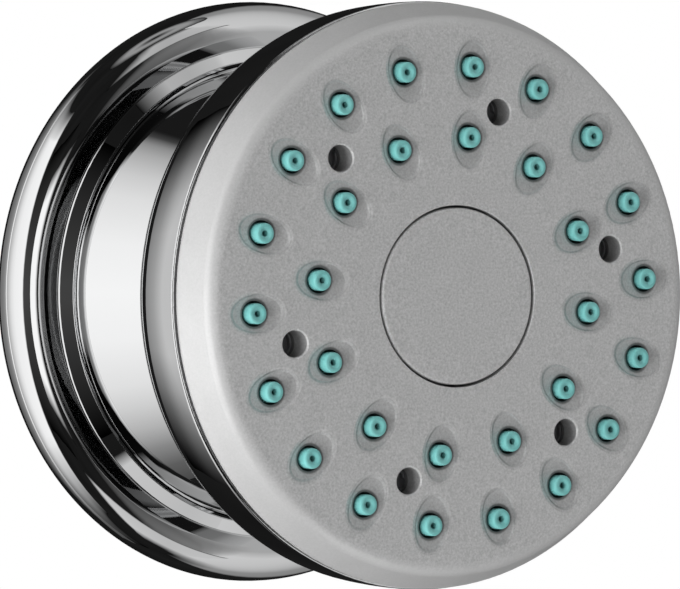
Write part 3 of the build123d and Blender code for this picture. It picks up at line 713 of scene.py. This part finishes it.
def pale_floor(tone):
    """Painted floor well below the jet, lifted by a tone where the camera or a mirror shows it."""
    mesh = bmesh.new()
    corners = ((-1, -1), (1, -1), (1, 1), (-1, 1))
    mesh.faces.new([mesh.verts.new((x * FLOOR_HALF, y * FLOOR_HALF, FLOOR_LEVEL)) for x, y in corners])
    f = Finish("floor_paint")
    dust = f.noise(0.05, detail=3)
    colour = f.blend(dust.clamp(0, 1), grey(0.84), grey(0.88))
    lift = f.blend(f.shows(), BLACK, grey(tone))
    material = f.surface(Base_Color=colour, Roughness=0.8, Emission_Color=lift, Emission_Strength=1.0)
    return stage_piece("floor", mesh, material, only_mirrored=False)


def white_world(fill):
    """White to the camera and in mirrors, and a softer fill for matt surfaces."""
    world = bpy.data.worlds.new("studio")
    bpy.context.scene.world = world
    world.use_nodes = True
    w = Value(world.node_tree)
    w.tree.nodes.clear()
    strength = w.shows() * (1 - fill) + fill
    light = w.node("Background", sockets={"Color": grey(1), "Strength": strength})
    w.node("OutputWorld", sockets={"Surface": light})


pale_floor(0.38)
white_world(0.53)
dark_tent(0.01)
panel(
    "left_panel",
    [(56, 0.06), (56.5, 0.06), (60, 0.97), (88, 0.92), (100, 0.8), (110, 0.6), (120, 0.4), (130, 0.25),
     (141, 0.17), (150, 0.1), (160, 0.01)],
    rises=(-74, 57), soft=(29, 11), bow=11)
panel(
    "front_panel",
    [(11, 0), (13, 0.3), (16, 0.75), (19, 1), (34, 1), (34.4, 0.06)],
    rises=(-26, 26), soft=(8, 8), away=1.1, bow=-20)
panel(
    "collar_panel",
    [(24, 0.05), (57, 0.06)],
    rises=(-40, 40), soft=(38, 38), away=1.16)
panel(
    "right_panel",
    [(-6, 0.02), (-13, 0.12), (-20, 0.17), (-25, 0.2), (-28.5, 0.33), (-31.5, 0.61), (-54, 0.56), (-73, 0.5),
     (-89, 0.43), (-110, 0.27), (-132, 0.24), (-138, 0.05)],
    rises=(-84, 80), soft=(14, 6), away=1.3)
panel(
    "upper_panel",
    [(13, 0), (-2, 0.45), (-14, 0.42), (-30, 0.5), (-34, 0.6)],
    rises=(45, 74), soft=(3, 7), away=1.15)
panel(
    "lower_panel",
    [(28, 0), (21, 0.6), (12, 0.58), (-14, 0.52), (-34, 0.56)],
    rises=(-83, -45), soft=(12, 3), away=1.15)
panel(
    "neck_panel",
    [(0, 0.01), (18, 0.01), (21, 0.05), (25, 0.28), (30, 0.43), (40, 0.64), (50, 0.78), (70, 0.93),
     (90, 0.98), (110, 0.94), (130, 0.8), (140, 0.66), (150, 0.48), (160, 0.26), (170, 0.12), (180, 0.07)],
    rises=(28, 32), soft=(0.5, 0.5), away=1.1, round_jet=True, dip=-7)
panel(
    "band_panel",
    [(10, 0), (20, 0.12), (30, 0.22), (40, 0.36), (50, 0.47), (65, 0.55), (115, 0.55), (130, 0.4),
     (140, 0.27), (150, 0.18), (160, 0.1), (172, 0.02)],
    rises=(56, 70.5), soft=(1, 10), away=1.1, round_jet=True, dip=7)
panel("top_panel", [(-180, 0.3), (180, 0.3)], rises=(74, 89), soft=(6, 6))
lamp("left_lamp", 80, -12, away=1.0, size=0.7, power=18)
lamp("front_lamp", 45, -8, away=1.4, size=0.4, power=7)
lamp("top_lamp", -10, 80, away=1.2, size=0.7, power=8)
lamp("floor_lamp", 10, -75, away=1.2, size=0.7, power=6)


# Photograph: its size, the middle of the nozzle rings and the lens in pixels, the camera's bearing and rise,
# and the middle of the nozzle rings on the jet
PHOTO_WIDTH = 680
PHOTO_HEIGHT = 589
RING_X = 450.96
RING_Y = 296.13
PX_PER_MM = 5.908
FOCAL_PX = 11467.7
CAMERA_BEARING = 32.11
CAMERA_RISE = 0.83
RING_MIDDLE = Vector((0, -67.6 * MM, 0))
SENSOR_WIDTH = 36


def photo_camera():
    """Camera of the photograph: a long lens from the left of the jet, a little above it."""
    out = bearing(CAMERA_BEARING, CAMERA_RISE)
    data = bpy.data.cameras.new("photo_camera")
    data.sensor_width = SENSOR_WIDTH
    data.lens = FOCAL_PX / PHOTO_WIDTH * SENSOR_WIDTH
    data.clip_start = 0.1
    data.clip_end = 20
    camera = add_object("photo_camera", data)
    camera.location = RING_MIDDLE + out * (FOCAL_PX / PX_PER_MM * MM)
    right = Vector((0, 0, 1)).cross(out).normalized()
    up = out.cross(right)
    metres_right = (RING_X - PHOTO_WIDTH / 2) / PX_PER_MM * MM
    metres_down = (RING_Y - PHOTO_HEIGHT / 2) / PX_PER_MM * MM
    aim = RING_MIDDLE - right * metres_right + up * metres_down
    camera.rotation_mode = "QUATERNION"
    camera.rotation_quaternion = (camera.location - aim).to_track_quat("Z", "Y")
    bpy.context.scene.camera = camera


photo_camera()
bpy.context.scene.view_settings.view_transform = "Standard"

bpy.context.view_layer.update()
